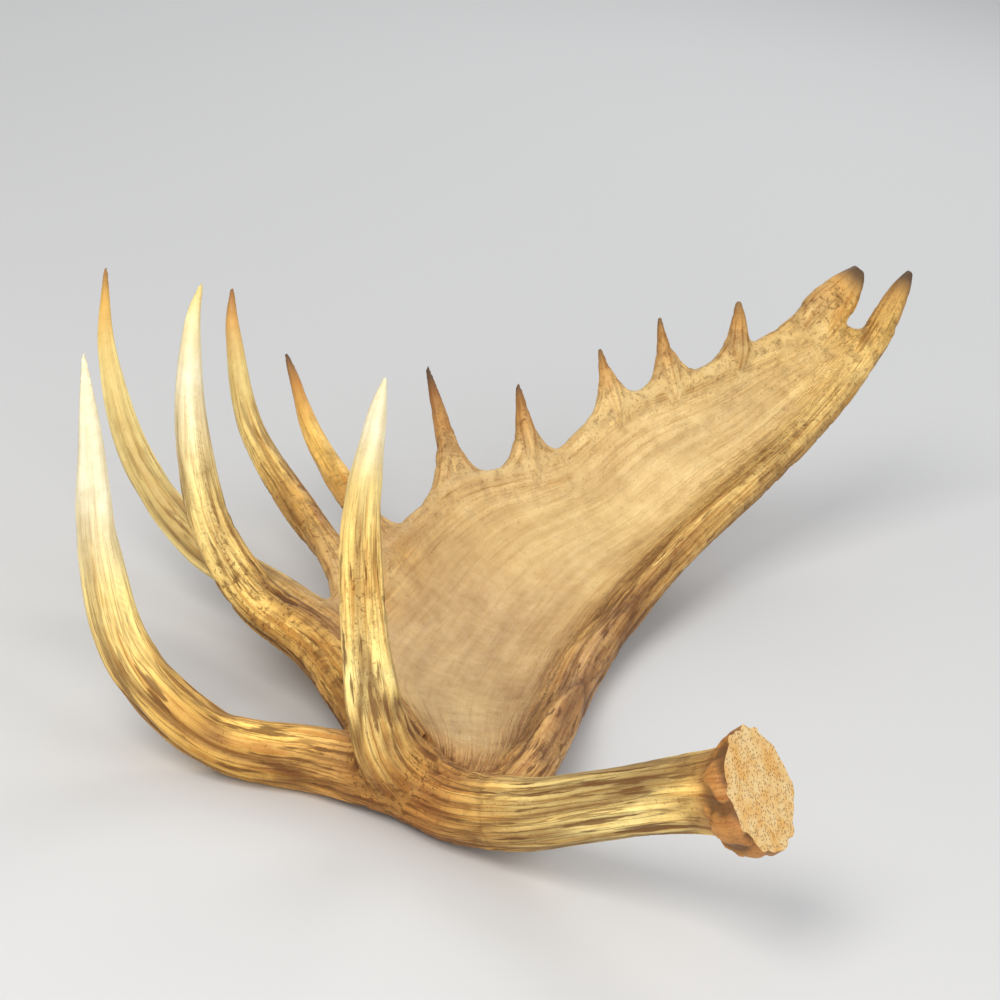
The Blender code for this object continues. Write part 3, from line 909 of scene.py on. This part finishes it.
def bone_material():
    """Weathered antler bone: painted tone, thin dark grain lines, fine streaks and pores."""
    n = Nodes("antler_bone")
    grain = n.attribute("grain", "Vector")
    streak = n.attribute("streak", "Fac")
    rough = n.attribute("rough", "Fac")
    flow = n.attribute("flow", "Fac")
    paint = n.attribute("paint", "Color")
    spot = n.add("ShaderNodeTexCoord").outputs["Object"]

    wander = n.noise(grain, (7.0, 140.0, 140.0), 4.0, 0.55)
    off = n.math("ABSOLUTE", n.math("SUBTRACT", wander, 0.5))
    smooth = n.math("MULTIPLY", streak, n.spread(rough, 0.2, 0.8, 1.0, 0.3))
    lines = n.math("MULTIPLY", n.spread(off, 0.0, 0.025, 0.75, 0.0), smooth)
    dash = n.noise(grain, (24.0, 250.0, 250.0), 3.0, 0.55)
    dashes = n.math("MULTIPLY", n.spread(dash, 0.56, 0.64, 0.0, 1.0), streak)
    fleck = n.noise(spot, (300.0, 300.0, 300.0), 2.0, 0.5)
    flecks = n.math("MULTIPLY", n.spread(fleck, 0.57, 0.68, 0.0, 0.8), n.spread(rough, 0.2, 0.9, 0.0, 1.0))
    marks = n.math("MAXIMUM", n.math("MAXIMUM", lines, dashes), flecks)
    fibre = n.noise(grain, (18.0, 430.0, 430.0), 3.0, 0.6)
    strength = n.math("MULTIPLY", n.math("MULTIPLY_ADD", rough, 1.1, n.math("ADD", streak, 0.2)), flow)
    fibres = n.math("MULTIPLY", n.math("SUBTRACT", fibre, 0.5), strength)
    speck = n.noise(spot, (750.0, 750.0, 750.0), 3.0, 0.6)
    pores = n.math("MULTIPLY", n.spread(speck, 0.40, 0.30, 0.0, 1.0), n.math("ADD", rough, 0.2))
    cloud = n.noise(spot, (130.0, 130.0, 130.0), 4.0, 0.6)

    toned = n.mix(n.spread(cloud, 0.35, 0.65, 0.0, 0.30), paint, CLOUD_TINT, "MULTIPLY")
    fibred = n.mix(n.spread(fibres, 0.0, 0.16, 0.0, 0.75), toned, FIBRE_TINT, "MULTIPLY")
    bleached = n.mix(n.spread(fibres, 0.0, -0.16, 0.0, 0.6), fibred, BLEACH_TINT, "MULTIPLY")
    lined = n.mix(n.math("MULTIPLY", marks, 0.85), bleached, rgba(CREVICE))
    pored = n.mix(n.math("MULTIPLY", pores, 0.6), lined, rgba(CREVICE))
    n.feed(n.shader.inputs["Base Color"], pored)
    n.feed(n.shader.inputs["Specular IOR Level"], 0.35)

    gloss = n.math("ADD", n.spread(cloud, 0.3, 0.7, 0.40, 0.52), n.math("MULTIPLY", rough, 0.2))
    n.feed(n.shader.inputs["Roughness"], n.math("ADD", gloss, n.math("MULTIPLY", marks, 0.15)))
    height = n.math("SUBTRACT", n.math("MULTIPLY", fibres, 0.8), n.math("MULTIPLY", marks, 0.7))
    height = n.math("SUBTRACT", height, n.math("MULTIPLY", pores, 0.5))
    height = n.math("ADD", height, n.math("MULTIPLY", speck, 0.12))
    bump = n.add("ShaderNodeBump", inputs={"Strength": 0.8, "Distance": 0.0009, "Height": height})
    n.feed(n.shader.inputs["Normal"], bump.outputs[0])
    return n.material


def sawn_material():
    """The sawn base: pale dense rim and spongy core."""
    n = Nodes("sawn_bone")
    spot = n.add("ShaderNodeTexCoord").outputs["Object"]
    cells = n.add("ShaderNodeTexVoronoi", inputs={"Vector": spot, "Scale": 620.0}).outputs["Distance"]
    hole = n.spread(cells, 0.20, 0.42, 1.0, 0.0)
    cloud = n.noise(spot, (90.0, 90.0, 90.0))
    tone = n.mix(n.spread(cloud, 0.3, 0.7, 0.0, 1.0), rgba(CREAM), rgba(TAN))
    n.feed(n.shader.inputs["Base Color"], n.mix(n.math("MULTIPLY", hole, 0.7), tone, rgba(UMBER)))
    n.feed(n.shader.inputs["Roughness"], n.spread(cloud, 0.3, 0.7, 0.7, 0.85))
    solid = n.math("SUBTRACT", 1.0, hole)
    bump = n.add("ShaderNodeBump", inputs={"Strength": 0.7, "Distance": 0.0006, "Height": solid})
    n.feed(n.shader.inputs["Normal"], bump.outputs[0])
    return n.material


# ---------- studio ----------

FLOOR_SIZE = 8.0
FLOOR_COLOUR = (0.66, 0.66, 0.66, 1.0)
WORLD_COLOUR = (0.95, 0.97, 1.0, 1.0)
WORLD_STRENGTH = 0.45

# ---- lights: name, place, aim, size, watts, colour ----
LIGHTS = [
    ("key", (-0.9, -1.5, 1.9), (0, 0, 0.05), 1.2, 34, (1.0, 0.97, 0.92)),
    ("front", (0.3, -2.1, 0.8), (0, 0, 0.08), 1.2, 14, (1.0, 0.98, 0.95)),
    ("fill", (1.8, -1.0, 1.2), (0, 0, 0.05), 1.6, 14, (0.96, 0.98, 1.0)),
    ("back", (0.4, 1.9, 1.6), (0, 0, 0.1), 1.2, 14, (1.0, 1.0, 1.0)),
]

CAMERA_ELEVATION = math.radians(22)
CAMERA_DISTANCE = 1.73
CAMERA_ROLL = math.radians(9)
CAMERA_LENS = 103.0
CAMERA_AIM = Vector((0.0, 0.02, 0.095))


def add_floor():
    """A plain pale floor."""
    bm = bmesh.new()
    bmesh.ops.create_grid(bm, x_segments=1, y_segments=1, size=FLOOR_SIZE)
    mesh = bpy.data.meshes.new("floor")
    bm.to_mesh(mesh)
    bm.free()
    n = Nodes("floor_paper")
    n.feed(n.shader.inputs["Base Color"], FLOOR_COLOUR)
    n.feed(n.shader.inputs["Roughness"], 0.9)
    mesh.materials.append(n.material)
    floor = bpy.data.objects.new("floor", mesh)
    bpy.context.scene.collection.objects.link(floor)


def add_light(name, place, aim, size, power, colour):
    """A square soft light that faces the aim."""
    light = bpy.data.lights.new(name, "AREA")
    light.shape = "SQUARE"
    light.size = size
    light.energy = power
    light.color = colour
    holder = bpy.data.objects.new(name, light)
    holder.location = place
    holder.rotation_euler = (Vector(aim) - Vector(place)).to_track_quat("-Z", "Y").to_euler()
    bpy.context.scene.collection.objects.link(holder)


def add_camera():
    """The photograph's viewing angle, drawn in on the one antler."""
    camera = bpy.data.cameras.new("camera")
    camera.lens = CAMERA_LENS
    camera.sensor_width = 36.0
    holder = bpy.data.objects.new("camera", camera)
    back = Vector((0, -math.cos(CAMERA_ELEVATION), math.sin(CAMERA_ELEVATION)))
    holder.location = CAMERA_AIM + back * CAMERA_DISTANCE
    facing = (-back).to_track_quat("-Z", "Y").to_matrix().to_4x4()
    holder.rotation_euler = (facing @ Matrix.Rotation(CAMERA_ROLL, 4, "Z")).to_euler()
    bpy.context.scene.collection.objects.link(holder)
    bpy.context.scene.camera = holder


def add_studio():
    """Floor, soft lights, pale surroundings and the camera."""
    add_floor()
    for light in LIGHTS:
        add_light(*light)
    bpy.context.scene.view_settings.view_transform = "Standard"
    world = bpy.data.worlds.new("studio")
    world.use_nodes = True
    background = world.node_tree.nodes["Background"]
    background.inputs["Color"].default_value = WORLD_COLOUR
    background.inputs["Strength"].default_value = WORLD_STRENGTH
    bpy.context.scene.world = world
    add_camera()


build_pieces({"bone": bone_material(), "sawn": sawn_material()})
add_studio()
